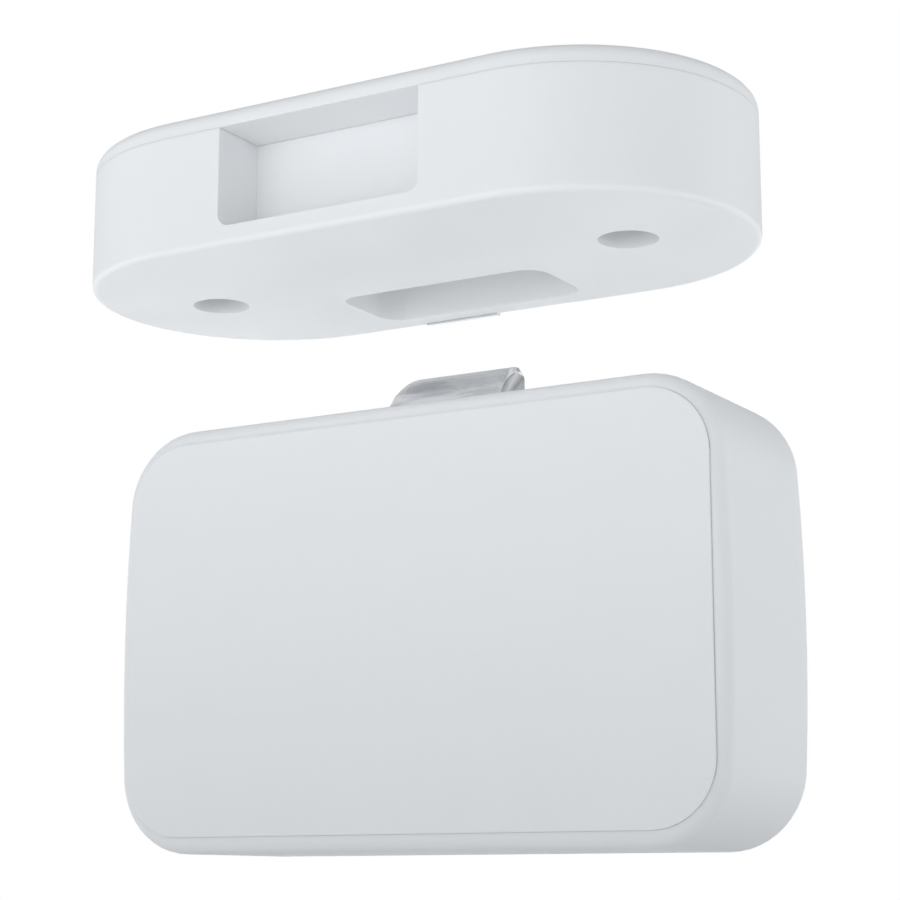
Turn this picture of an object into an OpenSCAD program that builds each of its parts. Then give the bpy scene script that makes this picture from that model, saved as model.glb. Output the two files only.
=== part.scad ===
// Battery-powered drawer lock with a door contact: lock body, spring latch and a strike box.
// Origin: centre of the lock body's back (mounting) face. +X right, -Y to the front, +Z up to the latch.

/* [Lock body] */
// Width of the lock body at its widest
body_w = 85.3; // [84:0.1:90]
// Height of the lock body without the latch
body_h = 54; // [54:0.5:58]
// Depth from the mounting face to the front
body_d = 23; // [23:0.25:26]
// Corner radius of the lock body seen from the front
corner_r = 10; // [9:0.25:10.5]
// How far each side bows out between its corners
side_bow = 0.5; // [0.2:0.1:0.8]
// Thickness of the casing walls
wall = 2; // [1.8:0.1:2]
// Thickness of the front cover
cover_t = 2.4; // [2:0.1:2.4]

/* [Latch] */
// Width of the latch bolt
latch_w = 16.5; // [14:0.5:16.5]
// Thickness of the latch bolt, front to back
latch_t = 6.8; // [6.6:0.1:6.8]
// How far the latch stands out of the body
latch_out = 6.8; // [5.5:0.1:6.8]
// Distance from the mounting face to the flat back of the latch
latch_back = 6.2; // [6.1:0.1:6.2]
// Stroke of the latch and of its carriage
latch_travel = 7; // [6:0.1:7]

/* [Drive] */
// Gear module of the rack and pinion
gear_module = 0.5; // [0.5:0.05:0.5]
// Teeth on the pinion
pinion_teeth = 16; // [16:1:16]
// Face width of the rack and pinion
gear_w = 3.5; // [3:0.1:3.5]

/* [Batteries] */
// Diameter of an AAA cell
cell_d = 10.2; // [10:0.1:10.2]
// Length of an AAA cell with its nub
cell_l = 44.5; // [44:0.1:44.5]

/* [Strike box] */
// Length of the strike box
strike_w = 89.5; // [80:0.5:92]
// Depth of the strike box, front to back
strike_d = 44.5; // [44:0.5:46]
// Height of the strike box with its cover plate
strike_h = 17.5; // [17:0.25:20]
// Thickness of the strike's cover plate
plate_t = 2.5; // [2.25:0.25:3]
// Gap between the lock body and the strike box as displayed
strike_gap = 16.8; // [12:0.1:20]
// Width of the front window
window_w = 28; // [24:0.5:28]
// Depth of the front window
window_deep = 8; // [6:0.5:8]
// Height of the sill below the front window
window_sill = 2.5; // [2.5:0.25:4]
// Length of the latch slot, left to right
slot_w = 29.5; // [24:0.5:29.5]
// Width of the latch slot, front to back
slot_d = 13.25; // [12:0.25:13.25]
// Distance between the two fixing holes
fix_spacing = 59.2; // [58:0.1:60]
// Diameter of the fixing holes
fix_d = 3.6; // [3.2:0.1:4]
// Diameter of the recesses for the screw heads
recess_d = 7.3; // [7:0.1:7.6]

/* [Hidden] */

$fn = 48;
white = [0.93, 0.935, 0.945];
inner_white = [0.86, 0.865, 0.875];
steel = [0.72, 0.74, 0.76];
chrome = [0.8, 0.81, 0.83];
brass = [0.8, 0.68, 0.38];
black = [0.12, 0.12, 0.13];
eps = 0.01;
slack = 0.15;

// casing, from the mounting face at Y = 0 to the front
rim = wall;
cavity_w = body_w - 2 * wall;
cavity_h = body_h - 2 * wall;
cavity_r = corner_r - wall;
floor_t = 1.8;
pad_t = 0.6;
pad_z = [-22, 14];
pad_h = 8;
rim_y = -body_d + 0.2;
cover_back = -body_d + cover_t;
cover_gap = 0.12;
tray_w = cavity_w - 2 * slack;
tray_h = cavity_h - 2 * slack;
tray_r = cavity_r - slack;
tray_wall = 1;
tray_in_z = tray_h / 2 - tray_wall;

// battery bays, two cells each side of the mechanism
cell_r = cell_d / 2;
cell_y = cover_back + 5.9;
cell_x = [-31.95, -21.25, 21.25, 31.95];
cell_up = [1, -1, 1, -1];
nub_r = 1.9;
nub_l = 0.8;
contact_t = 0.5;
bay_back = -7.7;
bay_front = bay_back - 4.7;
ridge_x = (cell_x[2] + cell_x[3]) / 2;
tray_screw_z = 20;
fixing_z = 10;
fixing_d = 3.6;

// mechanism well in the middle of the chassis
well_x = 14.8;
well_wall = 1;
well_floor = -3.2;
plate_y0 = cover_back + 0.4;
plate_y1 = plate_y0 + 1;
board_front = -17.6;
board_back = -16.6;
board_z0 = -4.8;
board_z1 = 23.4;
board_x = 14.5;
post_x = 12.4;
post_top_z = 21.6;
post_low_z = -21.9;
post_low_x = [-12.4, 4];

// latch and carriage
latch_front = -latch_back - latch_t;
latch_top = body_h / 2 + latch_out;
latch_bottom = 12;
nose_r = 7;
heel_r = 1.1;
heel_z = latch_top - 0.1 - heel_r;
carriage_front = -latch_back + 0.2;
guide_back = -latch_back + 0.1;
carriage_back = well_floor - 0.1;
ledge_z0 = 1.7;
ledge_z1 = 4.2;
finger_z = 14.1;
spring_y = -10;
spring_r = 1.85;
spring_top = 24;
throat_gap = 0.3;
guide_in = latch_w / 2 + 0.2;
guide_z0 = 13.5;
guide_z1 = 23.7;
lug_x = 12.3;
lug_z = 15.2;

// motor, gearbox and pinion on one axis along X
drive_y = -12.5;
drive_z = -13.5;
gearbox_x0 = 1;
gearbox_x1 = 10;
motor_x0 = -13.6;
motor_h = 12;
motor_d = 10;
pinion_x0 = 10.6;
shaft_r = 1.5;
shaft_end = 14.3;
pitch_r = gear_module * pinion_teeth / 2;
tooth_pitch = PI * gear_module;
backlash = 0.05;
rack_y = drive_y + pitch_r;

// setting button and status light
button_z = 4;
button_travel = 0.3;
switch_top = board_front - 0.85;
led_x = 6;

// strike box, above the body and level with its back
strike_z0 = body_h / 2 + strike_gap;
strike_z1 = strike_z0 + strike_h;
seam_z = strike_z1 - plate_t;
strike_back = 2.5;
strike_front = strike_back - strike_d;
strike_y = (strike_front + strike_back) / 2;
strike_wall = 2;
strike_edge = 0.8;
cover_edge = 1.75;
strike_floor = 2.5;
slot_front = strike_front + 27.2;
slot_back = slot_front + slot_d;
slot_deep = 8;
lid_screw_x = 19.5;
lid_screw_y = [strike_front + 12.3, strike_back - 10.7];
seat_z = seam_z - 2.6;
magnet = [10, 5, 3];
magnet_y = -24.6;
keeper_t = 0.8;
keeper_h = 9;
keeper_low = 0.2;
keeper_lip = 0.2;

// a block between two corners
module block(low, high) {
    translate(low)
        cube(high - low);
}

// a rounded rectangle from square and circle
module round_rect(w, h, r) {
    square([w - 2 * r, h], center = true);
    square([w, h - 2 * r], center = true);
    for (sx = [-1, 1], sy = [-1, 1])
        translate([sx * (w / 2 - r), sy * (h / 2 - r)])
            circle(r);
}

// a flat outline in X and Z, given depth from y0 to y1
module slab(y0, y1) {
    translate([0, y1, 0])
        rotate([90, 0, 0])
            linear_extrude(y1 - y0)
                children();
}

// a round bar along Y
module bar_y(x, z, r, y0, y1) {
    translate([x, y1, z])
        rotate([90, 0, 0])
            cylinder(h = y1 - y0, r = r);
}

// a round bar along X
module bar_x(y, z, r, x0, x1) {
    translate([x0, y, z])
        rotate([0, 90, 0])
            cylinder(h = x1 - x0, r = r);
}

// a disc along Y whose front edge is rounded
module soft_disc(r, depth, edge) {
    rotate([90, 0, 0])
        rotate_extrude($fn = 48) {
            square([r, depth - edge]);
            square([r - edge, depth]);
            translate([r - edge, depth - edge])
                circle(edge, $fn = 24);
        }
}

// a self-tapping screw along +Y, with its head's face at the origin
module screw_y(head_r, head_t, shank_r, shank_l) {
    difference() {
        bar_y(0, 0, head_r, 0, head_t);
        for (turn = [0, 90])
            rotate([0, turn, 0])
                block([-head_r * 0.6, -eps, -0.25], [head_r * 0.6, head_t * 0.6, 0.25]);
    }
    bar_y(0, 0, shank_r, head_t, head_t + shank_l);
}

// a coil spring along +Z from the origin
module coil(r, wire_r, turns, length) {
    around = 16;
    sides = 8;
    steps = round(turns * around);
    rise = length - 2 * wire_r;
    points = [
        for (i = [0:steps], k = [0:sides - 1])
            let (
                turn = 360 * i / around,
                side = 360 * k / sides,
                out = r + wire_r * cos(side)
            )
            [out * cos(turn), out * sin(turn), wire_r + rise * i / steps + wire_r * sin(side)]
    ];
    skin = [
        for (i = [0:steps - 1], k = [0:sides - 1])
            let (next = (k + 1) % sides)
            [i * sides + k, i * sides + next, (i + 1) * sides + next, (i + 1) * sides + k]
    ];
    ends = [
        [for (k = [sides - 1:-1:0]) k],
        [for (k = [0:sides - 1]) steps * sides + k]
    ];
    polyhedron(points, concat(skin, ends), convexity = 10);
}

module housing() {
    color(white)
        difference() {
            hull() {
                for (sx = [-1, 1], sz = [-1, 1])
                    translate([sx * (body_w / 2 - corner_r - side_bow), 0, sz * (body_h / 2 - corner_r)])
                        soft_disc(corner_r, -rim_y, rim);
                for (sx = [-1, 1], step = [-0.75:0.25:0.75])
                    translate([
                        sx * (body_w / 2 - corner_r - side_bow * step * step),
                        0,
                        step * (body_h / 2 - corner_r)
                    ])
                        soft_disc(corner_r, -rim_y, rim);
            }
            slab(rim_y - 1, -floor_t)
                round_rect(cavity_w, cavity_h, cavity_r);
            throat();
            for (z = pad_z)
                block([-30, -pad_t, z], [30, 1, z + pad_h]);
            for (sx = [-1, 1], sz = [-1, 1])
                bar_y(sx * ridge_x, sz * fixing_z, fixing_d / 2, -floor_t - 1, 1);
        }
    color(white)
        for (sx = [-1, 1], sz = [-1, 1])
            difference() {
                bar_y(sx * ridge_x, sz * tray_screw_z, 2.5, bay_back, -floor_t + eps);
                bar_y(sx * ridge_x, sz * tray_screw_z, 0.9, bay_back - 1, -floor_t);
            }
}

// the way out for the latch through the top walls
module throat() {
    block([-latch_w / 2 - throat_gap, latch_front - throat_gap, tray_in_z - 1],
        [latch_w / 2 + throat_gap, -latch_back + throat_gap, body_h / 2 + 1]);
}

module adhesive_pads() {
    color(black)
        for (z = pad_z)
            block([-29.8, -pad_t, z + 0.2], [29.8, 0, z + pad_h - 0.2]);
}

module front_cover() {
    color(white) {
        slab(-body_d + 0.4, cover_back)
            round_rect(cavity_w - 2 * cover_gap, cavity_h - 2 * cover_gap, cavity_r - cover_gap);
        slab(-body_d, -body_d + 0.4)
            round_rect(cavity_w - 0.8, cavity_h - 0.8, cavity_r - 0.4);
        for (sx = [-1, 1])
            block([sx * 38 - 0.5, cover_back - eps, -6], [sx * 38 + 0.5, cover_back + 2.4, 6]);
    }
}

module chassis() {
    color(inner_white)
        difference() {
            union() {
                slab(bay_front, bay_back)
                    round_rect(tray_w, tray_h, tray_r);
                difference() {
                    slab(cover_back, bay_front)
                        round_rect(tray_w, tray_h, tray_r);
                    slab(cover_back - 1, bay_front + 1)
                        round_rect(tray_w - 2 * tray_wall, tray_h - 2 * tray_wall, tray_r - tray_wall);
                }
                block([-well_x - well_wall, cover_back, -tray_h / 2],
                    [well_x + well_wall, well_floor + 1, tray_h / 2]);
            }
            block([-well_x, cover_back - 1, -tray_in_z], [well_x, well_floor, tray_in_z]);
            for (x = cell_x)
                translate([x, cell_y, -tray_in_z])
                    cylinder(h = 2 * tray_in_z, r = cell_r + 0.2);
            for (sx = [-1, 1], sz = [-1, 1])
                tray_corner(sx, sz);
            for (sx = [-1, 1], sz = [-1, 1]) {
                bar_y(sx * ridge_x, sz * tray_screw_z, 1.1, cover_back, bay_back + 1);
                bar_y(sx * ridge_x, sz * tray_screw_z, 2.3, cover_back, bay_back - 1.2);
                bar_y(sx * ridge_x, sz * fixing_z, 3.6, cover_back, bay_back + 1);
            }
            throat();
        }
    color(inner_white)
        well_fittings();
}

// the corners of the tray are open, so that the outer cells reach the casing
module tray_corner(sx, sz) {
    x0 = sx > 0 ? 34 : -body_w / 2;
    z0 = sz > 0 ? 15.5 : -body_h / 2;
    translate([x0, cover_back - 1, z0])
        cube([body_w / 2 - 34, -cover_back + bay_back, body_h / 2 - 15.5]);
}

// posts, ribs and the motor cradle that stand in the well
module well_fittings() {
    difference() {
        union() {
            for (sx = [-1, 1]) {
                bar_y(sx * post_x, post_top_z, 1.8, board_back, well_floor + eps);
                bar_y(sx * lug_x, lug_z, 1.8, guide_back, well_floor + eps);
                block([sx * 9.6 - 0.5, guide_back, 9], [sx * 9.6 + 0.5, well_floor + eps, tray_in_z + eps]);
            }
            for (x = post_low_x)
                bar_y(x, post_low_z, 1.8, plate_y1, well_floor + eps);
            for (z = [drive_z - motor_h / 2 - 1.2, drive_z + motor_h / 2 + 0.1])
                block([-13, drive_y - 1, z], [8, well_floor + eps, z + 1.1]);
            for (x = [-12, -2, 6])
                block([x, drive_y + motor_d / 2 + 0.05, drive_z - motor_h / 2 - 0.1],
                    [x + 2, well_floor + eps, drive_z + motor_h / 2 + 0.1]);
        }
        for (sx = [-1, 1]) {
            bar_y(sx * post_x, post_top_z, 0.9, board_back - 1, -9.5);
            bar_y(sx * lug_x, lug_z, 0.9, guide_back - 1, well_floor - 0.2);
        }
        for (x = post_low_x)
            bar_y(x, post_low_z, 0.9, plate_y1 - 1, -11.5);
    }
}

module chassis_screws() {
    color(steel)
        for (sx = [-1, 1], sz = [-1, 1])
            translate([sx * ridge_x, bay_back - 2.4, sz * tray_screw_z])
                screw_y(1.9, 1.2, 0.9, 6);
}

module inner_cover() {
    color(inner_white)
        difference() {
            union() {
                block([-well_x + 0.2, plate_y0, -tray_in_z + 0.2], [well_x - 0.2, plate_y1, tray_in_z - 0.2]);
                for (sx = [-1, 1])
                    bar_y(sx * post_x, post_top_z, 1.9, plate_y1 - eps, board_front);
                block([-8, plate_y1 - eps, drive_z - 4], [-4, drive_y - motor_d / 2 - 0.05, drive_z + 4]);
            }
            for (at = cover_screw_spots()) {
                bar_y(at[0], at[1], 1.1, plate_y0 - 1, board_front + 1);
                bar_y(at[0], at[1], 1.9, plate_y0 - 1, plate_y0 + 0.5);
            }
            bar_y(0, button_z, 2.6, plate_y0 - 1, plate_y1 + 1);
            bar_y(led_x, button_z, 1, plate_y0 - 1, plate_y1 + 1);
        }
}

function cover_screw_spots() = [
    [-post_x, post_top_z],
    [post_x, post_top_z],
    [post_low_x[0], post_low_z],
    [post_low_x[1], post_low_z]
];

module inner_cover_screws() {
    color(steel)
        for (at = cover_screw_spots())
            translate([at[0], plate_y0, at[1]])
                screw_y(1.7, 0.5, 0.9, at[1] > 0 ? 9 : 7);
}

module cell(i) {
    up = cell_up[i];
    end_z = up * (tray_in_z - contact_t);
    color([0.25, 0.27, 0.3])
        translate([cell_x[i], cell_y, end_z])
            rotate([up > 0 ? 180 : 0, 0, 0]) {
                cylinder(h = nub_l + eps, r = nub_r);
                translate([0, 0, nub_l])
                    cylinder(h = cell_l - nub_l, r = cell_r);
            }
}

module battery_1() {
    cell(0);
}

module battery_2() {
    cell(1);
}

module battery_3() {
    cell(2);
}

module battery_4() {
    cell(3);
}

module battery_springs() {
    spring_l = 2 * (tray_in_z - contact_t) - cell_l;
    color(steel)
        for (i = [0:3])
            translate([cell_x[i], cell_y, -cell_up[i] * (tray_in_z - contact_t)])
                rotate([cell_up[i] > 0 ? 0 : 180, 0, 0])
                    coil(2.4, 0.25, 3, spring_l);
}

module battery_contacts() {
    color(steel)
        for (x = cell_x, sz = [-1, 1])
            translate([x, cell_y, sz * (tray_in_z - contact_t / 2)])
                cube([3.9, 7, contact_t], center = true);
}

module circuit_board() {
    color([0.05, 0.32, 0.18])
        difference() {
            block([-board_x, board_front, board_z0], [board_x, board_back, board_z1]);
            for (sx = [-1, 1])
                bar_y(sx * post_x, post_top_z, 1.1, board_front - 1, board_back + 1);
        }
}

module board_chips() {
    color(black) {
        block([-11, board_front - 0.9, -1], [-6, board_front, 4]);
        block([8.5, board_front - 0.9, 9], [12.5, board_front, 12]);
        block([-10, board_front - 0.6, 8], [-8.8, board_front, 8.8]);
        block([-7.6, board_front - 0.6, 8], [-6.4, board_front, 8.8]);
        block([-5.2, board_front - 0.6, 8], [-4, board_front, 8.8]);
    }
}

module radio_module() {
    color(chrome)
        block([-1, board_back, -3], [11, board_back + 2, 8]);
}

module reed_sensor() {
    color([0.55, 0.75, 0.6])
        bar_x(board_back + 0.9, 22, 0.9, -7, 7);
    color(steel)
        bar_x(board_back + 0.9, 22, 0.25, -9, 9);
}

module buzzer() {
    color(black)
        difference() {
            bar_y(-7.5, 4, 4.5, board_back, board_back + 2.6);
            bar_y(-7.5, 4, 0.7, board_back + 1.8, board_back + 3);
        }
}

module status_led() {
    color([0.85, 0.92, 0.85])
        block([led_x - 0.6, board_front - 0.8, button_z - 1], [led_x + 0.6, board_front, button_z + 1]);
}

module button_switch() {
    color(steel)
        block([-1.75, board_front - 0.7, button_z - 1.75], [1.75, board_front, button_z + 1.75]);
    color(black)
        bar_y(0, button_z, 0.9, switch_top, board_front - 0.7 + eps);
}

module setting_button() {
    color([0.35, 0.5, 0.72]) {
        bar_y(0, button_z, 2.5, plate_y0 - button_travel, plate_y1 + 0.1);
        bar_y(0, button_z, 3.2, plate_y1 + 0.05, switch_top - button_travel);
    }
}

module position_switch() {
    color(black)
        block([-14, board_back, 9], [-10.5, board_back + 3, 15]);
    color(steel)
        block([-12.6, board_back + 3 - eps, 10], [-11.9, board_back + 3.6, 14]);
}

module latch_guide() {
    color(steel)
        difference() {
            union() {
                block([-guide_in - 1.5, latch_front - 1.2, guide_z0],
                    [guide_in + 1.5, guide_back, guide_z1]);
                block([-lug_x - 2, guide_back - 1.2, guide_z0],
                    [lug_x + 2, guide_back, lug_z + 1.8]);
            }
            block([-guide_in, latch_front - 0.2, guide_z0 - 1], [guide_in, guide_back + 1, guide_z1 + 1]);
            for (sx = [-1, 1])
                bar_y(sx * lug_x, lug_z, 1.1, guide_back - 2, guide_back + 1);
        }
}

module guide_screws() {
    color(steel)
        for (sx = [-1, 1])
            translate([sx * lug_x, guide_back - 2.4, lug_z])
                screw_y(1.7, 1.2, 0.9, 3.6);
}

module latch_bolt() {
    nose_z = latch_top - nose_r;
    color(chrome)
        difference() {
            union() {
                block([-latch_w / 2, latch_front, latch_bottom], [latch_w / 2, -latch_back, nose_z]);
                intersection() {
                    block([-latch_w / 2, latch_front, nose_z - eps], [latch_w / 2, -latch_back, latch_top]);
                    bar_x(latch_front + nose_r, nose_z, nose_r, -latch_w / 2, latch_w / 2);
                }
            }
            translate([0, spring_y, latch_bottom - 1])
                cylinder(h = spring_top - latch_bottom + 1, r = spring_r + 0.35);
            block([-3.1, -latch_back - 1.3, finger_z - 0.1],
                [3.1, -latch_back + 1, finger_z + 2.2 + latch_travel]);
            difference() {
                block([-latch_w, -latch_back - heel_r, heel_z], [latch_w, 1, latch_top + 1]);
                bar_x(-latch_back - heel_r, heel_z, heel_r, -latch_w, latch_w);
            }
        }
}

module latch_spring() {
    color(steel)
        translate([0, spring_y, ledge_z1])
            coil(spring_r, 0.25, 11, spring_top - ledge_z1);
}

// teeth of a rack that point to -Y, with a gap centred on the drive's axis
function rack_outline(low, high) =
    let (
        tip = rack_y - 0.8 * gear_module,
        root = rack_y + 1.25 * gear_module,
        slope = tan(20),
        half = tooth_pitch / 4 - backlash / 2,
        first = ceil((low - drive_z) / tooth_pitch),
        last = floor((high - drive_z) / tooth_pitch) - 1
    )
    concat(
        [[carriage_back, low], [root, low]],
        [
            for (i = [first:last])
                let (z = drive_z + (i + 0.5) * tooth_pitch)
                each [
                    [root, z - half - (root - rack_y) * slope],
                    [tip, z - half + (rack_y - tip) * slope],
                    [tip, z + half - (rack_y - tip) * slope],
                    [root, z + half + (root - rack_y) * slope]
                ]
        ],
        [[root, high], [carriage_back, high]]
    );

module latch_carriage() {
    rack_low = -16.2;
    rack_high = -2.6;
    color([0.3, 0.32, 0.35]) {
        block([-9, carriage_front, ledge_z0], [9, carriage_back, 19]);
        block([-8, latch_front, ledge_z0], [8, carriage_front + eps, ledge_z1]);
        block([-2.8, carriage_front - 1.4, finger_z], [2.8, carriage_front + eps, finger_z + 2]);
        translate([0, spring_y, ledge_z1 - eps])
            cylinder(h = 1.2, r = 1.3);
        block([9 - eps, carriage_front, ledge_z0], [pinion_x0 + gear_w, carriage_back, 8]);
        block([pinion_x0, rack_y + 1.25 * gear_module, rack_high - eps],
            [pinion_x0 + gear_w, carriage_back, 8]);
        translate([pinion_x0, 0, 0])
            rotate([90, 0, 90])
                linear_extrude(gear_w)
                    polygon(rack_outline(rack_low, rack_high));
    }
}

// involute tooth outline, one tooth centred on the first axis
function roll(r, base_r) = let (a = acos(min(1, base_r / r))) tan(a) * 180 / PI - a;

function pinion_outline() =
    let (
        base_r = pitch_r * cos(20),
        tip_r = pitch_r + 0.9 * gear_module,
        root_r = pitch_r - 1.15 * gear_module,
        steps = 5,
        half = 90 / pinion_teeth - backlash / 2 / pitch_r * 180 / PI + roll(pitch_r, base_r),
        radii = [for (k = [0:steps]) base_r + (tip_r - base_r) * k / steps]
    )
    [
        for (i = [0:pinion_teeth - 1])
            let (mid = i * 360 / pinion_teeth)
            each concat(
                [root_r * [cos(mid - half), sin(mid - half)]],
                [for (r = radii) let (a = mid - half + roll(r, base_r)) r * [cos(a), sin(a)]],
                [for (k = [steps:-1:0])
                    let (a = mid + half - roll(radii[k], base_r))
                    radii[k] * [cos(a), sin(a)]],
                [root_r * [cos(mid + half), sin(mid + half)]]
            )
    ];

module motor_can() {
    color(steel) {
        intersection() {
            bar_x(drive_y, drive_z, motor_h / 2, motor_x0, gearbox_x0);
            block([motor_x0, drive_y - motor_d / 2, drive_z - motor_h / 2],
                [gearbox_x0, drive_y + motor_d / 2, drive_z + motor_h / 2]);
        }
        for (sz = [-1, 1])
            block([motor_x0 - 0.4, drive_y - 0.8, drive_z + sz * 3 - 0.3],
                [motor_x0 + eps, drive_y + 0.8, drive_z + sz * 3 + 0.3]);
    }
}

module gearbox() {
    color(brass)
        difference() {
            block([gearbox_x0, drive_y - motor_d / 2, drive_z - motor_h / 2],
                [gearbox_x1, drive_y + motor_d / 2, drive_z + motor_h / 2]);
            bar_x(drive_y, drive_z, shaft_r + 0.05, gearbox_x1 - 3, gearbox_x1 + 1);
        }
}

module output_shaft() {
    color(chrome)
        difference() {
            bar_x(drive_y, drive_z, shaft_r, gearbox_x1 - 2.9, shaft_end);
            block([gearbox_x1 + 0.3, drive_y - 2, drive_z + 1], [shaft_end + 1, drive_y + 2, drive_z + 2]);
        }
}

module drive_pinion() {
    color([0.92, 0.92, 0.88])
        difference() {
            translate([pinion_x0, drive_y, drive_z])
                rotate([90, 0, 90])
                    linear_extrude(gear_w)
                        polygon(pinion_outline());
            difference() {
                bar_x(drive_y, drive_z, shaft_r, pinion_x0 - 1, pinion_x0 + gear_w + 1);
                block([pinion_x0 - 2, drive_y - 2, drive_z + 1],
                    [pinion_x0 + gear_w + 2, drive_y + 2, drive_z + 2]);
            }
        }
}

module motor_leads() {
    lead_x = motor_x0 - 0.75;
    lead_r = 0.35;
    for (lead = [[-3, -1, "firebrick"], [3, 0.4, "dimgray"]])
        color(lead[2]) {
            lead_z = drive_z + lead[0];
            lead_y = drive_y + lead[1];
            translate([lead_x, lead_y, lead_z])
                sphere(lead_r);
            translate([lead_x, lead_y, lead_z])
                cylinder(h = -3.4 + lead[1] - lead_z, r = lead_r);
            translate([lead_x, lead_y, -3.4 + lead[1]])
                sphere(lead_r);
            bar_y(lead_x, -3.4 + lead[1], lead_r, board_back, lead_y);
        }
}

// one end of the strike box, a disc whose lower or upper edge is rounded
module strike_end(r, h, edge, upper) {
    translate([0, 0, upper ? 0 : h])
        mirror([0, 0, upper ? 0 : 1])
            rotate_extrude($fn = 96) {
                square([r, h - edge]);
                square([r - edge, h]);
                intersection() {
                    square([r, h]);
                    translate([r - edge, h - edge])
                        circle(edge, $fn = 24);
                }
            }
}

// the strike's rounded-end outline
module strike_outline(inset) {
    r = strike_d / 2 - inset;
    square([strike_w - strike_d, 2 * r], center = true);
    for (sx = [-1, 1])
        translate([sx * (strike_w - strike_d) / 2, 0])
            circle(r, $fn = 96);
}

module strike_housing() {
    color(white)
        difference() {
            union() {
                difference() {
                    translate([0, strike_y, strike_z0])
                        hull()
                            for (sx = [-1, 1])
                                translate([sx * (strike_w - strike_d) / 2, 0, 0])
                                    strike_end(strike_d / 2, seam_z - strike_z0, strike_edge, false);
                    translate([0, strike_y, strike_z0 + strike_floor])
                        linear_extrude(strike_h)
                            strike_outline(strike_wall);
                }
                block([-window_w / 2 - 1.6, strike_front + 1, strike_z0 + 1],
                    [window_w / 2 + 1.6, strike_front + window_deep + 1.6, seam_z]);
                slot_block(1.5, strike_z0 + 1, strike_z0 + slot_deep + 1.2);
                for (sx = [-1, 1])
                    translate([sx * fix_spacing / 2, strike_y, strike_z0 + 1])
                        cylinder(h = seam_z - strike_z0 - 1, r = recess_d / 2 + 1.3);
                for (sx = [-1, 1], y = lid_screw_y)
                    translate([sx * lid_screw_x, y, strike_z0 + 1])
                        cylinder(h = seam_z - strike_z0 - 1, r = 2.2);
                magnet_ribs();
            }
            window_space();
            slot_block(0, strike_z0 - 1, strike_z0 + slot_deep);
            for (sx = [-1, 1])
                translate([sx * fix_spacing / 2, strike_y, 0]) {
                    translate([0, 0, strike_z0 - 1])
                        cylinder(h = seam_z - strike_z0 + 2, r = fix_d / 2);
                    translate([0, 0, strike_z0 - 1])
                        cylinder(h = seat_z - strike_z0 + 1, r = recess_d / 2);
                }
            for (sx = [-1, 1], y = lid_screw_y)
                translate([sx * lid_screw_x, y, seam_z - 7])
                    cylinder(h = 8, r = 0.9);
            keeper_space();
        }
}

// the window pocket, open to the front and up to the cover plate
module window_space() {
    corner = 1.6;
    height = seam_z - strike_z0 - window_sill + 1;
    translate([0, strike_front + window_deep, strike_z0 + window_sill + height / 2])
        rotate([90, 0, 0])
            linear_extrude(window_deep + 1) {
                round_rect(window_w, height, corner);
                translate([-window_w / 2, 0])
                    square([window_w, height / 2]);
            }
}

// the latch slot's rounded outline, grown by a margin
module slot_block(margin, z0, z1) {
    translate([0, (slot_front + slot_back) / 2, z0])
        linear_extrude(z1 - z0)
            round_rect(slot_w + 2 * margin, slot_d + 2 * margin, 3 + margin);
}

module magnet_ribs() {
    for (sx = [-1, 1])
        block([sx * (magnet[0] / 2 + 0.6) - 0.5, magnet_y - 3.2, strike_z0 + 1],
            [sx * (magnet[0] / 2 + 0.6) + 0.5, magnet_y + 3.2, strike_z0 + strike_floor + 2.5]);
}

// the pocket in the back wall for the steel keeper
module keeper_space() {
    block([-11.1, strike_back - keeper_t - 0.1, strike_z0 - 1],
        [11.1, strike_back + 1, strike_z0 + keeper_h + 0.1]);
}

module strike_plate() {
    color(steel)
        for (part = [[11, keeper_low, keeper_h], [0, -keeper_lip, keeper_low + eps]])
            block([-11, strike_back - keeper_t - 0.1, strike_z0 + part[1]],
                [part[0], strike_back - 0.1, strike_z0 + part[2]]);
}

module strike_cover() {
    color(white)
        difference() {
            translate([0, strike_y, seam_z])
                hull()
                    for (sx = [-1, 1])
                        translate([sx * (strike_w - strike_d) / 2, 0, 0])
                            strike_end(strike_d / 2, plate_t, cover_edge, true);
            for (sx = [-1, 1])
                translate([sx * fix_spacing / 2, strike_y, seam_z - 1])
                    cylinder(h = plate_t + 2, r = fix_d / 2);
            for (sx = [-1, 1], y = lid_screw_y)
                translate([sx * lid_screw_x, y, seam_z - 1]) {
                    cylinder(h = plate_t + 2, r = 1.1);
                    translate([0, 0, 1 + plate_t - 1.2])
                        cylinder(h = 2, r = 2.1);
                }
            block([-14, strike_y - 9, strike_z1 - pad_t], [14, strike_y + 9, strike_z1 + 1]);
        }
}

module strike_cover_screws() {
    color(steel)
        for (sx = [-1, 1], y = lid_screw_y)
            translate([sx * lid_screw_x, y, strike_z1 - 0.2])
                rotate([-90, 0, 0])
                    screw_y(1.9, 1, 0.9, 6);
}

module strike_magnet() {
    color(chrome)
        translate([0, magnet_y, strike_z0 + strike_floor + magnet[2] / 2])
            cube(magnet, center = true);
}

module strike_pad() {
    color(black)
        block([-13.8, strike_y - 8.8, strike_z1 - pad_t], [13.8, strike_y + 8.8, strike_z1]);
}

housing();
front_cover();
chassis();
chassis_screws();
inner_cover();
inner_cover_screws();
adhesive_pads();
battery_1();
battery_2();
battery_3();
battery_4();
battery_springs();
battery_contacts();
circuit_board();
board_chips();
radio_module();
reed_sensor();
buzzer();
status_led();
button_switch();
setting_button();
position_switch();
latch_guide();
guide_screws();
latch_bolt();
latch_spring();
latch_carriage();
motor_can();
gearbox();
output_shaft();
drive_pinion();
motor_leads();
strike_housing();
strike_cover();
strike_cover_screws();
strike_plate();
strike_magnet();
strike_pad();
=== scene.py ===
"""A white drawer lock with a door contact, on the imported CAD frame: lock body, latch and strike box."""

import itertools
import math

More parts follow.
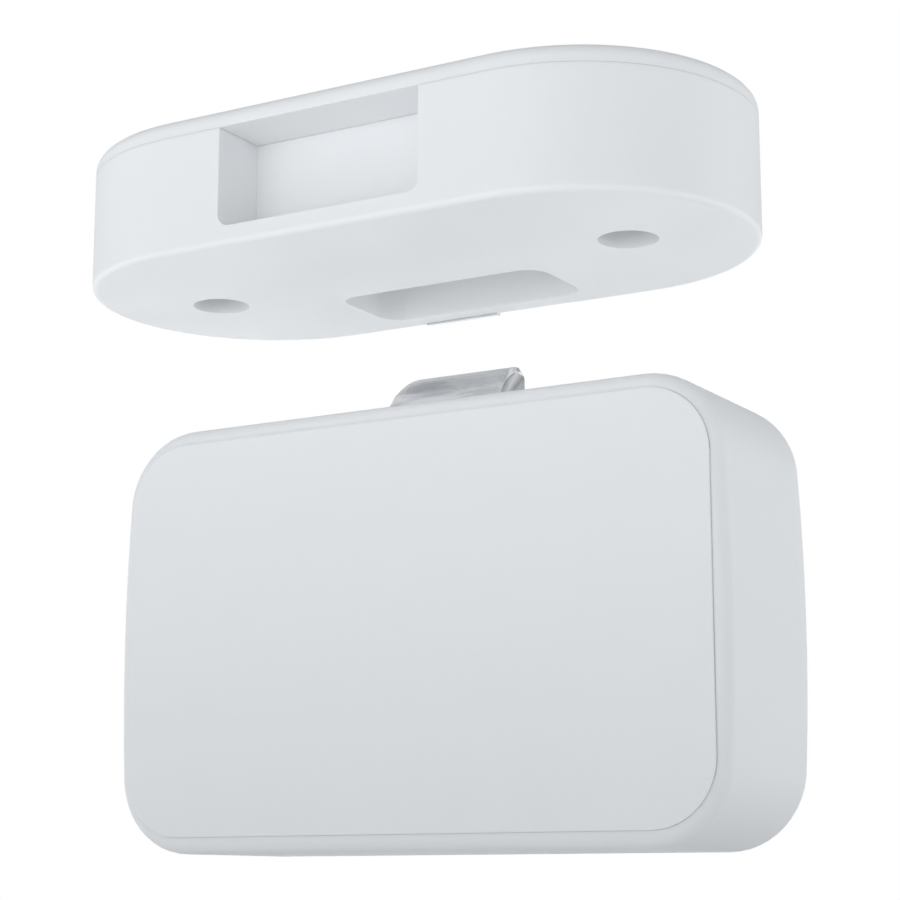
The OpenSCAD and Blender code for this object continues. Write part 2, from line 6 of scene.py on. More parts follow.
import bmesh
import bpy
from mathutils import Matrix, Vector


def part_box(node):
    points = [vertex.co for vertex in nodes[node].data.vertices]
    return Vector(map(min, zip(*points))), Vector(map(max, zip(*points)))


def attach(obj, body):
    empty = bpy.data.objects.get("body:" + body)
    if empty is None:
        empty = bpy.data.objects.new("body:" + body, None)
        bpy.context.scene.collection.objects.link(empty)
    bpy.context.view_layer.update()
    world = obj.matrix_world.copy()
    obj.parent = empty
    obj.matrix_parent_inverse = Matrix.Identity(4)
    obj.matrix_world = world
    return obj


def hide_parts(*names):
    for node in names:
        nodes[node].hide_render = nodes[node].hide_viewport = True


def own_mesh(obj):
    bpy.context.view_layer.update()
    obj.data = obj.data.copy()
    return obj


MM = 0.001
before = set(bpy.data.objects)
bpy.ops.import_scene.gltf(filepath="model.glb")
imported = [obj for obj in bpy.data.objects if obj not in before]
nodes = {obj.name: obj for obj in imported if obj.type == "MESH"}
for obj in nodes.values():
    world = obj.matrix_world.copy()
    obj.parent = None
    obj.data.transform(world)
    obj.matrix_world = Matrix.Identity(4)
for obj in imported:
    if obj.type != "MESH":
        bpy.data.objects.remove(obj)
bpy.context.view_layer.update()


# ---------------------------------------------------------------- camera, floor and light

VIEW_AZIMUTH = 30.41
VIEW_ELEVATION = -11.42
FOCAL = 87.5
SENSOR = 36
CAMERA_AT = Vector((137.0, -244.3, -31.6)) * MM

FLOOR_Z = -50 * MM
FLOOR_R = 360 * MM
FLOOR_FADE = 80 * MM

# The world's light by direction: its strength above and below the horizon, and its share from the right.
WORLD_SEEN = 1.0
LIGHT_ABOVE = 0.51
LIGHT_BELOW = 1.38
LIGHT_RIGHT = 0.80
LIGHT_TINT = (0.965, 1.0, 1.03)
HORIZON = 0.3
RIGHT_START = 0.2
RIGHT_END = 0.9


def make_camera():
    data = bpy.data.cameras.new("camera")
    data.lens = FOCAL
    data.sensor_width = SENSOR
    data.clip_start = 0.01
    data.clip_end = 20
    camera = bpy.data.objects.new("camera", data)
    bpy.context.scene.collection.objects.link(camera)
    azimuth, elevation = math.radians(VIEW_AZIMUTH), math.radians(VIEW_ELEVATION)
    ahead = Vector((
        -math.sin(azimuth) * math.cos(elevation),
        math.cos(azimuth) * math.cos(elevation),
        -math.sin(elevation),
    ))
    camera.location = CAMERA_AT
    camera.rotation_euler = ahead.to_track_quat("-Z", "Y").to_euler()
    bpy.context.scene.camera = camera


def ramp(tree, value, start, end, low, high):
    """Goes from low to high as value goes from start to end."""
    span = tree.nodes.new("ShaderNodeMapRange")
    tree.links.new(value, span.inputs["Value"])
    for key, number in (("From Min", start), ("From Max", end), ("To Min", low), ("To Max", high)):
        span.inputs[key].default_value = number
    return span.outputs[0]


def make_world():
    """A white studio: a pure white backdrop, with more light from below and less from the right."""
    world = bpy.data.worlds.new("studio")
    world.use_nodes = True
    tree = world.node_tree
    tree.nodes.clear()
    seen = tree.nodes.new("ShaderNodeBackground")
    seen.inputs["Strength"].default_value = WORLD_SEEN
    seen.inputs["Color"].default_value = (1, 1, 1, 1)
    light = tree.nodes.new("ShaderNodeBackground")
    light.inputs["Color"].default_value = (*LIGHT_TINT, 1)
    way = tree.nodes.new("ShaderNodeSeparateXYZ")
    tree.links.new(tree.nodes.new("ShaderNodeTexCoord").outputs["Generated"], way.inputs[0])
    share = tree.nodes.new("ShaderNodeMath")
    share.operation = "MULTIPLY"
    rise = ramp(tree, way.outputs["Z"], -HORIZON, HORIZON, LIGHT_BELOW, LIGHT_ABOVE)
    tree.links.new(rise, share.inputs[0])
    right = ramp(tree, way.outputs["X"], RIGHT_START, RIGHT_END, 1, LIGHT_RIGHT)
    tree.links.new(right, share.inputs[1])
    tree.links.new(share.outputs[0], light.inputs["Strength"])
    path = tree.nodes.new("ShaderNodeLightPath")
    mix = tree.nodes.new("ShaderNodeMixShader")
    out = tree.nodes.new("ShaderNodeOutputWorld")
    tree.links.new(path.outputs["Is Camera Ray"], mix.inputs[0])
    tree.links.new(light.outputs[0], mix.inputs[1])
    tree.links.new(seen.outputs[0], mix.inputs[2])
    tree.links.new(mix.outputs[0], out.inputs[0])
    bpy.context.scene.world = world
    bpy.context.scene.view_settings.view_transform = "Standard"


def softbox(name, at, aim, size, energy, tint=(1, 1, 1)):
    data = bpy.data.lights.new(name, "AREA")
    data.color = tint
    data.shape = "DISK"
    data.size = size
    data.energy = energy
    lamp = bpy.data.objects.new(name, data)
    bpy.context.scene.collection.objects.link(lamp)
    lamp.location = at
    lamp.rotation_euler = (Vector(aim) - Vector(at)).to_track_quat("-Z", "Y").to_euler()


def make_lights():
    """A low key in front, a rim that lights the right side, and a light behind on the left."""
    softbox("key", (-0.06, -0.36, -0.01), (0, -0.01, 0.02), 0.26, 0.17, (0.98, 0.99, 1.0))
    softbox("rim", (0.34, 0.20, 0.04), (0.04, -0.01, 0.01), 0.30, 0.22)
    softbox("low_back", (-0.16, 0.30, 0.0), (0, -0.02, 0.044), 0.34, 0.12)


def make_floor():
    """A plain pale disc below the object that fades into the backdrop towards its rim."""
    shape = bmesh.new()
    bmesh.ops.create_circle(shape, cap_ends=True, segments=96, radius=FLOOR_R)
    mesh = bpy.data.meshes.new("floor")
    shape.to_mesh(mesh)
    shape.free()
    floor = bpy.data.objects.new("floor", mesh)
    floor.location = (0, 0, FLOOR_Z)
    bpy.context.scene.collection.objects.link(floor)
    paint = Paint("floor", fresh=True)
    paint.set("Base Color", (0.94, 0.94, 0.94))
    paint.set("Roughness", 0.9)
    paint.set("Specular IOR Level", 0.1)
    reach = paint.node("ShaderNodeVectorMath", operation="LENGTH")
    paint.join(paint.at, reach.inputs[0])
    paint.set("Alpha", paint.span(reach.outputs["Value"], FLOOR_FADE, FLOOR_R * 0.95, 1, 0))
    mesh.materials.append(bpy.data.materials["floor"])


# ---------------------------------------------------------------- materials


class Paint:
    """Rebuilds one of the record's materials, with textures in the row frame, in metres."""

    def __init__(self, slot, fresh=False):
        if fresh:
            bpy.data.materials.new(slot).use_nodes = True
        self.tree = bpy.data.materials[slot].node_tree
        self.tree.nodes.clear()
        out = self.node("ShaderNodeOutputMaterial")
        self.shader = self.node("ShaderNodeBsdfPrincipled")
        self.join(self.shader.outputs[0], out.inputs["Surface"])
        self.at = self.node("ShaderNodeTexCoord").outputs["Object"]
        self.normal = None

    def node(self, kind, **settings):
        made = self.tree.nodes.new(kind)
        for key, value in settings.items():
            setattr(made, key, value)
        return made

    def join(self, source, target):
        self.tree.links.new(source, target)

    def put(self, target, value):
        """Sets a socket to a number or a colour, or links it."""
        if isinstance(value, bpy.types.NodeSocket):
            self.join(value, target)
        elif isinstance(value, (int, float)):
            target.default_value = value
        else:
            target.default_value = (*value, 1) if len(target.default_value) == 4 else value

    def set(self, name, value):
        self.put(self.shader.inputs[name], value)

    def stretched(self, stretch):
        mapping = self.node("ShaderNodeMapping")
        mapping.inputs["Scale"].default_value = stretch
        self.join(self.at, mapping.inputs["Vector"])
        return mapping.outputs[0]

    def noise(self, scale, stretch=(1, 1, 1), detail=3.0, warp=0.0):
        texture = self.node("ShaderNodeTexNoise")
        self.join(self.stretched(stretch), texture.inputs["Vector"])
        texture.inputs["Scale"].default_value = scale
        texture.inputs["Detail"].default_value = detail
        texture.inputs["Distortion"].default_value = warp
        return texture.outputs["Fac"]

    def cells(self, scale, stretch=(1, 1, 1), feature="F1"):
        texture = self.node("ShaderNodeTexVoronoi", feature=feature)
        self.join(self.stretched(stretch), texture.inputs["Vector"])
        texture.inputs["Scale"].default_value = scale
        return texture.outputs["Distance"]

    def math(self, kind, a, b=0.0):
        made = self.node("ShaderNodeMath", operation=kind)
        self.put(made.inputs[0], a)
        self.put(made.inputs[1], b)
        return made.outputs[0]

    def span(self, value, start, end, low=0.0, high=1.0):
        return ramp(self.tree, value, start, end, low, high)

    def mix(self, share, first, second):
        made = self.node("ShaderNodeMix", data_type="RGBA")
        self.put(made.inputs[0], share)
        self.put(made.inputs[6], first)
        self.put(made.inputs[7], second)
        return made.outputs[2]

    def place(self, axis):
        """The X, Y or Z of the point, in metres."""
        parts = self.node("ShaderNodeSeparateXYZ")
        self.join(self.at, parts.inputs[0])
        return parts.outputs[axis]

    def edges(self, start=0.52, end=0.6):
        """1 on outside edges and 0 on flats; it masks the painted edge highlights."""
        shape = self.node("ShaderNodeNewGeometry")
        return self.span(shape.outputs["Pointiness"], start, end)

    def relief(self, height, depth, strength=1.0):
        """Adds a bump, depth metres high, to what is there already."""
        bump = self.node("ShaderNodeBump")
        bump.inputs["Strength"].default_value = strength
        bump.inputs["Distance"].default_value = depth
        self.join(height, bump.inputs["Height"])
        if self.normal:
            self.join(self.normal, bump.inputs["Normal"])
        self.normal = bump.outputs[0]
        self.join(self.normal, self.shader.inputs["Normal"])


def shade(colour, factor):
    return tuple(c * factor for c in colour)


def moulded(slot, colour, rough, grain, depth, spread=0.012, gloss=0.5):
    """Injection-moulded plastic: a spark-eroded grain, slow tone drift and uneven gloss."""
    paint = Paint(slot)
    drift = paint.noise(26, detail=2)
    fine = paint.noise(grain, detail=2)
    tone = paint.math("ADD", paint.span(drift, 0.35, 0.65, 0, 0.75), paint.span(fine, 0.3, 0.7, 0, 0.25))
    paint.set("Base Color", paint.mix(tone, shade(colour, 1 - spread), shade(colour, 1 + spread)))
    paint.set("Roughness", paint.span(paint.noise(90, detail=3), 0.3, 0.7, rough - 0.05, rough + 0.05))
    paint.set("Specular IOR Level", gloss)
    paint.relief(fine, depth, 0.5)
    paint.relief(paint.noise(grain / 9, detail=2), depth * 2.5, 0.3)
    return paint


def paint_case():
    """The white shell: a moulded plastic that lets a little light through."""
    paint = moulded("white_abs", (0.928, 0.930, 0.936), 0.42, 2600, 3e-6, 0.006)
    paint.set("Subsurface Weight", 0.5)
    paint.set("Subsurface Radius", (1, 1, 1))
    paint.set("Subsurface Scale", 0.45 * MM)


def metal(slot, colour, rough, grain, stretch, spread=0.1, depth=0.6e-6):
    """Metal with a grain along the axis that stretch makes small, and a painted highlight on its edges."""
    paint = Paint(slot)
    lines = paint.noise(grain, stretch, detail=4)
    cloud = paint.noise(140, detail=3, warp=0.6)
    tone = paint.math("ADD", paint.span(lines, 0.3, 0.7, 0, 0.6), paint.span(cloud, 0.3, 0.7, 0, 0.4))
    body = paint.mix(tone, shade(colour, 1 - spread), shade(colour, 1 + spread))
    # Edges get a brighter colour than the flats: a painted highlight.
    paint.set("Base Color", paint.mix(paint.edges(), body, shade(colour, 1.18)))
    paint.set("Metallic", 1.0)
    paint.set("Roughness", paint.span(lines, 0.3, 0.7, rough - 0.07, rough + 0.07))
    paint.relief(lines, depth, 0.6)


def paint_latch():
    """Plated zinc: long soft streaks along the bolt, rougher ends painted darker as shade, and smoother
    edges painted bright as a highlight.
    """
    paint = Paint("latch_chrome")
    broad = paint.noise(330, (0.14, 1.0, 1.0), detail=3, warp=0.9)
    fine = paint.noise(1500, (0.05, 1.0, 1.0), detail=4)
    tone = paint.math("ADD", paint.span(broad, 0.38, 0.56, 0, 0.75), paint.span(fine, 0.3, 0.7, 0, 0.3))
    body = paint.mix(tone, (0.68, 0.68, 0.70), (1.0, 1.0, 1.0))
    # Faces along X, the bolt's ends, are painted darker: painted shade.
    ends = paint.node("ShaderNodeSeparateXYZ")
    paint.join(paint.node("ShaderNodeNewGeometry").outputs["Normal"], ends.inputs[0])
    end = paint.span(paint.math("ABSOLUTE", ends.outputs["X"]), 0.8, 0.95)
    blotch = paint.noise(900, detail=3, warp=0.5)
    end_shade = paint.mix(paint.span(blotch, 0.35, 0.65), (0.105, 0.103, 0.114), (0.22, 0.214, 0.23))
    body = paint.mix(end, body, end_shade)
    edge = paint.edges(0.51, 0.56)
    # Edges are painted near white: a painted highlight.
    paint.set("Base Color", paint.mix(edge, body, (0.99, 0.99, 1.0)))
    paint.set("Metallic", 1.0)
    worn = paint.math("SUBTRACT", paint.math("MULTIPLY", end, 0.2), paint.math("MULTIPLY", edge, 0.15))
    paint.set("Roughness", paint.math("ADD", paint.span(broad, 0.3, 0.7, 0.22, 0.36), worn))
    paint.relief(fine, 1.2e-6, 0.5)
    paint.relief(broad, 40e-6, 0.6)


def paint_cell_wrap():
    """The graphite sleeve of a cell, under a clear film."""
    paint = Paint("cell_wrap")
    flake = paint.span(paint.noise(2600, detail=2), 0.3, 0.7)
    paint.set("Base Color", paint.mix(flake, (0.045, 0.05, 0.06), (0.07, 0.075, 0.085)))
    paint.set("Roughness", paint.span(paint.noise(160), 0.3, 0.7, 0.2, 0.32))
    paint.set("Coat Weight", 0.6)
    paint.set("Coat Roughness", 0.12)
    paint.relief(paint.noise(420, (1, 1, 0.2)), 6e-6, 0.4)


def paint_board():
    """Green solder mask over copper tracks, with plated holes between them."""
    paint = Paint("board_green")
    tracks = paint.node("ShaderNodeTexBrick")
    tracks.offset = 0.35
    turned = paint.node("ShaderNodeMapping")
    turned.inputs["Rotation"].default_value = (math.radians(90), 0, 0)
    paint.join(paint.at, turned.inputs["Vector"])
    paint.join(turned.outputs[0], tracks.inputs["Vector"])
    for key, value in (("Scale", 420), ("Mortar Size", 0.06), ("Brick Width", 4.7), ("Row Height", 0.31)):
        tracks.inputs[key].default_value = value
    routed = paint.span(paint.noise(170, detail=0), 0.47, 0.5)
    line = paint.math("MULTIPLY", paint.span(tracks.outputs["Fac"], 0.2, 0.8), routed)
    mask = paint.mix(paint.noise(700, detail=2), (0.010, 0.11, 0.045), (0.016, 0.14, 0.06))
    mask = paint.mix(line, mask, (0.03, 0.21, 0.09))
    hole = paint.span(paint.cells(330), 0.13, 0.1)
    paint.set("Base Color", paint.mix(hole, mask, (0.72, 0.56, 0.28)))
    paint.set("Metallic", hole)
    paint.set("Roughness", paint.span(line, 0, 1, 0.28, 0.36))
    paint.set("Coat Weight", 0.3)
    paint.relief(line, 18e-6, 0.7)


def paint_foam():
    """Closed-cell foam between two skins of adhesive."""
    paint = Paint("foam_tape")
    pores = paint.cells(2400)
    # The pore centres are painted darker: painted shade in the pores.
    depth = paint.span(pores, 0.1, 0.7)
    paint.set("Base Color", paint.mix(depth, (0.02, 0.02, 0.022), (0.06, 0.06, 0.064)))
    paint.set("Roughness", paint.span(paint.noise(120), 0.3, 0.7, 0.62, 0.85))
    paint.set("Sheen Weight", 0.15)
    paint.relief(pores, 45e-6, 0.8)


def paint_reed():
    """A tinted glass tube; its wire ends are dull steel."""
    glass_end = 7.0 * MM
    paint = Paint("reed_glass")
    wire = paint.span(paint.math("ABSOLUTE", paint.place("X")), glass_end, glass_end + 0.05 * MM)
    tint = paint.mix(paint.noise(900), (0.45, 0.66, 0.5), (0.56, 0.75, 0.6))
    paint.set("Base Color", paint.mix(wire, tint, (0.6, 0.6, 0.61)))
    paint.set("Metallic", wire)
    paint.set("Roughness", paint.span(wire, 0, 1, 0.06, 0.35))
    paint.set("Transmission Weight", paint.span(wire, 0, 1, 0.75, 0))


def paint_leads():
    """One red and one dark insulated wire, told apart by where they run."""
    red_before_y, red_below_z = -12.8 * MM, -3.7 * MM
    paint = Paint("lead_pvc")
    front = paint.math("LESS_THAN", paint.place("Y"), red_before_y)
    low = paint.math("LESS_THAN", paint.place("Z"), red_below_z)
    mottle = paint.noise(1500)
    dark = paint.mix(mottle, (0.03, 0.03, 0.033), (0.06, 0.06, 0.065))
    red = paint.mix(mottle, (0.38, 0.02, 0.02), (0.5, 0.035, 0.03))
    paint.set("Base Color", paint.mix(paint.math("MULTIPLY", front, low), dark, red))
    paint.set("Roughness", 0.42)
    paint.relief(mottle, 8e-6, 0.4)


def paint_filled_nylon():
    """Glass-filled nylon: dark, with short pale fibres at the surface."""
    dark = (0.035, 0.038, 0.043)
    paint = moulded("carriage_nylon", dark, 0.5, 2200, 8e-6, 0.2)
    fibre = paint.span(paint.cells(1900, (0.25, 1, 1)), 0.16, 0.05)
    paint.set("Base Color", paint.mix(paint.math("MULTIPLY", fibre, 0.5), dark, (0.13, 0.135, 0.14)))


def paint_all():
    paint_case()
    moulded("inner_abs", (0.78, 0.795, 0.81), 0.55, 1500, 7e-6, 0.02)
    moulded("button_blue", (0.045, 0.125, 0.33), 0.38, 2000, 4e-6, 0.06)
    moulded("pinion_nylon", (0.72, 0.70, 0.62), 0.34, 1800, 3e-6, 0.03)
    moulded("chip_black", (0.018, 0.018, 0.02), 0.5, 3000, 9e-6, 0.25, 0.4)
    moulded("led_lens", (0.66, 0.76, 0.62), 0.16, 900, 1e-6, 0.05).set("Transmission Weight", 0.4)
    metal("screw_steel", (0.52, 0.53, 0.55), 0.34, 1600, (0.15, 1, 1))
    metal("spring_steel", (0.46, 0.47, 0.49), 0.3, 2400, (1, 1, 0.3))
    metal("shield_can", (0.60, 0.60, 0.585), 0.3, 700, (0.2, 1, 1), 0.05)
    metal("motor_steel", (0.54, 0.55, 0.56), 0.3, 1800, (0.08, 1, 1))
    metal("gearbox_brass", (0.66, 0.48, 0.2), 0.32, 1500, (1, 0.1, 1))
    metal("keeper_steel", (0.60, 0.605, 0.62), 0.36, 1300, (0.1, 1, 1))
    metal("magnet_nickel", (0.62, 0.60, 0.57), 0.2, 500, (1, 1, 1), 0.05)
    paint_latch()
    paint_cell_wrap()
    paint_board()
    paint_foam()
    paint_reed()
    paint_leads()
    paint_filled_nylon()


# ---------------------------------------------------------------- the CAD meshes, refined by modifiers

SMOOTH_BELOW = math.radians(35)
FLAT_BELOW = math.radians(0.4)
WELD_BELOW = 1e-6


def angle_group():
    """Geometry nodes that shade smooth, with sharp edges where faces meet at more than SMOOTH_BELOW."""
    group = bpy.data.node_groups.new("sharp_by_angle", "GeometryNodeTree")
    group.interface.new_socket("Geometry", in_out="INPUT", socket_type="NodeSocketGeometry")
    group.interface.new_socket("Geometry", in_out="OUTPUT", socket_type="NodeSocketGeometry")
    start = group.nodes.new("NodeGroupInput")
    end = group.nodes.new("NodeGroupOutput")
    faces = group.nodes.new("GeometryNodeSetShadeSmooth")
    faces.domain = "FACE"
    edges = group.nodes.new("GeometryNodeSetShadeSmooth")
    edges.domain = "EDGE"
    edges.inputs["Shade Smooth"].default_value = False
    angle = group.nodes.new("GeometryNodeInputMeshEdgeAngle")
    over = group.nodes.new("ShaderNodeMath")
    over.operation = "GREATER_THAN"
    over.inputs[1].default_value = SMOOTH_BELOW
    group.links.new(start.outputs[0], faces.inputs["Geometry"])
    group.links.new(faces.outputs[0], edges.inputs["Geometry"])
    group.links.new(angle.outputs["Unsigned Angle"], over.inputs[0])
    group.links.new(over.outputs[0], edges.inputs["Selection"])
    group.links.new(edges.outputs[0], end.inputs[0])
    return group


def clear_normals(mesh):
    for name in ("custom_normal", "sharp_edge", "sharp_face"):
        if name in mesh.attributes:
            mesh.attributes.remove(mesh.attributes[name])


def refine(obj, width, group, segments=3):
    """Welds the seams, rounds the corners by width and shades flats flat."""
    clear_normals(obj.data)
    obj.modifiers.new("weld", "WELD").merge_threshold = WELD_BELOW
    if width:
        planes = obj.modifiers.new("planes", "DECIMATE")
        planes.decimate_type = "DISSOLVE"
        planes.angle_limit = FLAT_BELOW
        bevel = obj.modifiers.new("soft_edges", "BEVEL")
        bevel.width = width
        bevel.segments = segments
        bevel.limit_method = "ANGLE"
        bevel.angle_limit = SMOOTH_BELOW
        bevel.miter_outer = "MITER_ARC"
        bevel.use_clamp_overlap = True
    obj.modifiers.new("smooth", "NODES").node_group = group
    obj.modifiers.new("weighted", "WEIGHTED_NORMAL").keep_sharp = True


# How far the edges of each CAD mesh are rounded, in mm.
EDGE_WIDTHS = {
    "housing": 0.07, "chassis": 0.12, "chassis_screws": 0.07, "inner_cover": 0.12,
    "inner_cover_screws": 0.06, "adhesive_pads": 0.06, "battery_contacts": 0.08, "circuit_board": 0.06,
    "board_chips": 0.09, "radio_module": 0.25, "reed_sensor": 0, "buzzer": 0.2, "status_led": 0.15,
    "button_switch": 0.1, "setting_button": 0.2, "position_switch": 0.15, "latch_guide": 0.18,
    "guide_screws": 0.07, "latch_carriage": 0.12, "motor_can": 0.3, "gearbox": 0.25,
    "output_shaft": 0.1, "drive_pinion": 0.04, "motor_leads": 0, "strike_housing": 0.08,
    "strike_cover": 0.03, "strike_cover_screws": 0.07, "strike_plate": 0.1, "strike_magnet": 0.3,
    "strike_pad": 0.06,
}


# ---------------------------------------------------------------- pieces that stand for CAD nodes


def piece(name, shape, body, slots, stands_for):
    """Makes an object from a bmesh, with the record's finishes, riding on a body in place of CAD nodes."""
    bmesh.ops.recalc_face_normals(shape, faces=shape.faces)
    mesh = bpy.data.meshes.new(name)
    shape.to_mesh(mesh)
    shape.free()
    for slot in slots:
        mesh.materials.append(bpy.data.materials[slot])
    obj = bpy.data.objects.new(name, mesh)
    bpy.context.scene.collection.objects.link(obj)
    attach(obj, body)
    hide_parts(*stands_for)
    return obj


def bridge(shape, first, second, material=0):
    """Quads between two closed rings of vertices."""
    count = len(first)
    for i in range(count):
        k = (i + 1) % count
        face = shape.faces.new((first[i], first[k], second[k], second[i]))
        face.material_index = material
        face.smooth = True


def outline(half_w, half_h, radius, steps=14):
    """A rounded rectangle's points in X and Z."""
    points = []
    for turn in range(4):
        sx, sz = ((1, 1), (-1, 1), (-1, -1), (1, -1))[turn]
        for i in range(steps + 1):
            a = math.radians(90) * (turn + i / steps)
            points.append((
                sx * (half_w - radius) + radius * math.cos(a),
                sz * (half_h - radius) + radius * math.sin(a),
            ))
    return points


def add_block(shape, low, high):
    corners = [shape.verts.new(corner) for corner in itertools.product(*zip(low, high))]
    for face in ((0, 1, 3, 2), (4, 6, 7, 5), (0, 4, 5, 1), (2, 3, 7, 6), (0, 2, 6, 4), (1, 5, 7, 3)):
        shape.faces.new([corners[i] for i in face])


def make_front_cover():
    """The snap-in front panel, with a soft edge all round and two ribs on its back.

    It fills the opening better than the CAD panel: each side goes out by reach.
    """
    low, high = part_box("front_cover")
    thick, reach, radius = 2.4 * MM, 0.11 * MM, 7.98 * MM
    edge, edge_drop, back_edge, flat_start = 0.26 * MM, 0.078 * MM, 0.15 * MM, 0.86 * MM
    rib_at, rib_half_w, rib_half_h, rib_root = 38 * MM, 0.5 * MM, 6 * MM, 0.02 * MM
    steps = 5
    half_w, half_h = high.x + reach, high.z + reach
    back = low.y + thick
    profile = [(back_edge, back), (0, back - back_edge)]
    for i in range(steps + 1):
        a = math.radians(90) * i / steps
        profile.append((edge * (1 - math.cos(a)), low.y + edge_drop * (1 - math.sin(a))))
    profile.append((flat_start, low.y))
    shape = bmesh.new()
    rings = [
        [shape.verts.new((x, y, z)) for x, z in outline(half_w - inset, half_h - inset, radius - inset)]
        for inset, y in profile
    ]
    for first, second in zip(rings, rings[1:]):
        bridge(shape, first, second)
    for ring in (rings[0], rings[-1]):
        shape.faces.new(ring)
    for middle in (-rib_at, rib_at):
        start = (middle - rib_half_w, back - rib_root, -rib_half_h)
        add_block(shape, start, (middle + rib_half_w, high.y, rib_half_h))
    return piece("front_panel", shape, "cover", ["white_abs"], ["front_cover"])


AAA_RADIUS = 5.1
AAA_LENGTH = 44.5
CELL_DIRECTIONS = {"battery_1": 1, "battery_2": -1, "battery_3": 1, "battery_4": -1}


def lathe(shape, profile, origin, direction, sides=64):
    """Turns (radius, distance, finish) rows about Z from origin; direction is 1 for up and -1 for down."""
    rings = []
    for radius, along, finish in profile:
        height = origin.z + direction * along
        rings.append((
            [shape.verts.new((
                origin.x + radius * math.cos(2 * math.pi * i / sides),
                origin.y + radius * math.sin(2 * math.pi * i / sides),
                height,
            )) for i in range(sides)],
            finish,
        ))
    for (first, finish), (second, _) in zip(rings, rings[1:]):
        bridge(shape, first, second, finish)
    for ring, finish in (rings[0], rings[-1]):
        shape.faces.new(ring).material_index = finish


def make_cell(node, direction):
    """An AAA cell: crimped steel ends, a graphite sleeve, and a brass collar at the plus end.

    Each row is (radius, distance from the minus end, finish), in mm on a standard AAA cell.
    """
    low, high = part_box(node)
    scale_r = (high.x - low.x) / 2 / AAA_RADIUS
    scale_l = (high.z - low.z) / AAA_LENGTH
    base = Vector(((low.x + high.x) / 2, (low.y + high.y) / 2, low.z if direction > 0 else high.z))
    finishes = ["cell_wrap", "spring_steel", "gearbox_brass"]
    sleeve, steel, collar = range(3)
    rows = [
        (0.4, 0.12, steel), (3.5, 0.12, steel), (3.7, 0.0, steel), (4.35, 0.0, steel), (4.75, 0.18, steel),
        (4.92, 0.45, sleeve), (5.07, 0.62, sleeve), (5.1, 0.9, sleeve), (5.1, 31.8, sleeve),
        (5.1, 31.9, collar), (5.1, 42.5, collar), (5.08, 42.9, collar), (4.9, 43.3, collar),
        (4.55, 43.52, collar), (4.2, 43.5, collar),
        (4.15, 43.35, steel), (2.6, 43.4, steel), (2.3, 43.6, steel), (1.95, 43.65, steel),
        (1.9, 43.8, steel), (1.88, 44.3, steel), (1.7, 44.46, steel), (0.3, 44.5, steel),
    ]
    shape = bmesh.new()
    lathe(shape, [(r * scale_r, z * scale_l, finish) for r, z, finish in rows], base, direction)
    return piece(f"cell_{node[-1]}", shape, "lock_body", finishes, [node])


def add_coil(shape, base, direction, radii, wire, turns, length, around=36, sides=12):
    """A wire wound about Z from base, from the first radius to the second, with closed ends."""
    closed_turns, closed_rise = 0.75, 0.06
    steps = int(turns * around)
    rings = []
    for i in range(steps + 1):
        share = i / steps
        a = 2 * math.pi * i / around
        radius = radii[0] + (radii[1] - radii[0]) * share
        pitch = min(1.0, max(0.0, (share * turns - closed_turns) / (turns - 2 * closed_turns)))
        middle = wire + (length - 2 * wire) * (closed_rise * share + (1 - closed_rise) * pitch)
        ring = []
        for k in range(sides):
            b = 2 * math.pi * k / sides
            out = radius + wire * math.cos(b)
            height = middle + wire * math.sin(b)
            ring.append(shape.verts.new((
                base.x + out * math.cos(a), base.y + out * math.sin(a), base.z + direction * height,
            )))
        rings.append(ring)
    for first, second in zip(rings, rings[1:]):
        bridge(shape, first, second)
    shape.faces.new(rings[0])
    shape.faces.new(rings[-1])


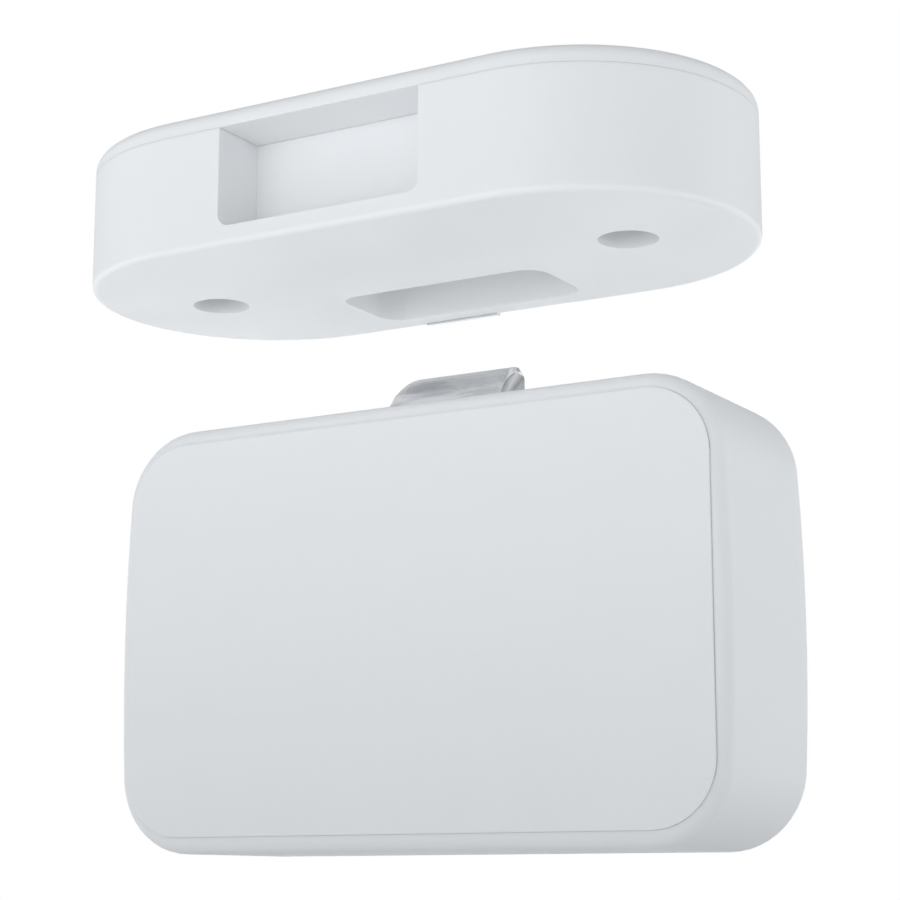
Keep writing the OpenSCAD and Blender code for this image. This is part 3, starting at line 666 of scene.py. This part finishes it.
def make_latch():
    """The latch bolt with the corners of its nose rounded off, more on the left than on the right."""
    low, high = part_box("latch_bolt")
    nose = 5.8 * MM
    root = high.z - nose
    shape = bmesh.new()
    shape.from_mesh(nodes["latch_bolt"].data)
    bmesh.ops.remove_doubles(shape, verts=shape.verts, dist=WELD_BELOW)
    bmesh.ops.dissolve_limit(shape, angle_limit=FLAT_BELOW, verts=shape.verts, edges=shape.edges)
    for end, radius, steps in ((low.x, 2.2 * MM, 6), (high.x, 0.8 * MM, 2)):
        inward = -math.copysign(1, end)
        for i in range(1, steps + 1):
            cut = end + inward * radius * i / steps
            everything = shape.verts[:] + shape.edges[:] + shape.faces[:]
            bmesh.ops.bisect_plane(shape, geom=everything, plane_co=(cut, 0, 0), plane_no=(1, 0, 0))
        for vert in shape.verts:
            short = radius - abs(vert.co.x - end)
            if short > 0 and vert.co.z > root:
                drop = radius - math.sqrt(max(0.0, radius ** 2 - short ** 2))
                vert.co.z = root + (vert.co.z - root) * (1 - drop / nose)
    for face in shape.faces:
        face.smooth = True
    return piece("latch_nose", shape, "latch", ["latch_chrome"], ["latch_bolt"])


def make_latch_spring():
    """The latch's return spring, riding on the carriage, with a mesh of its own."""
    low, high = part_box("latch_spring")
    wire, turns = 0.25 * MM, 11
    radius = (high.x - low.x) / 2 - wire
    base = Vector((0, (low.y + high.y) / 2, low.z))
    shape = bmesh.new()
    add_coil(shape, base, 1, (radius, radius), wire, turns, high.z - low.z)
    spring = piece("return_spring", shape, "carriage", ["spring_steel"], ["latch_spring"])
    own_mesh(spring)


def make_cell_springs():
    """A cone-shaped contact spring at each cell's minus end."""
    low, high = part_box("battery_springs")
    radii, wire, turns = (2.4 * MM, 1.5 * MM), 0.25 * MM, 3.5
    shape = bmesh.new()
    for node, direction in CELL_DIRECTIONS.items():
        cell_low, cell_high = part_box(node)
        start, end = (low.z, cell_low.z) if direction > 0 else (high.z, cell_high.z)
        base = Vector(((cell_low.x + cell_high.x) / 2, (cell_low.y + cell_high.y) / 2, start))
        add_coil(shape, base, direction, radii, wire, turns, abs(end - start), 30, 10)
    piece("cell_springs", shape, "lock_body", ["spring_steel"], ["battery_springs"])


# ---------------------------------------------------------------- the scene

make_camera()
make_world()
make_lights()
make_floor()
paint_all()

sharp = angle_group()
for node, width in EDGE_WIDTHS.items():
    refine(nodes[node], width * MM, sharp)

refine(make_front_cover(), 0, sharp)
refine(make_latch(), 0.22 * MM, sharp)
for node, direction in CELL_DIRECTIONS.items():
    refine(make_cell(node, direction), 0, sharp)
make_latch_spring()
make_cell_springs()
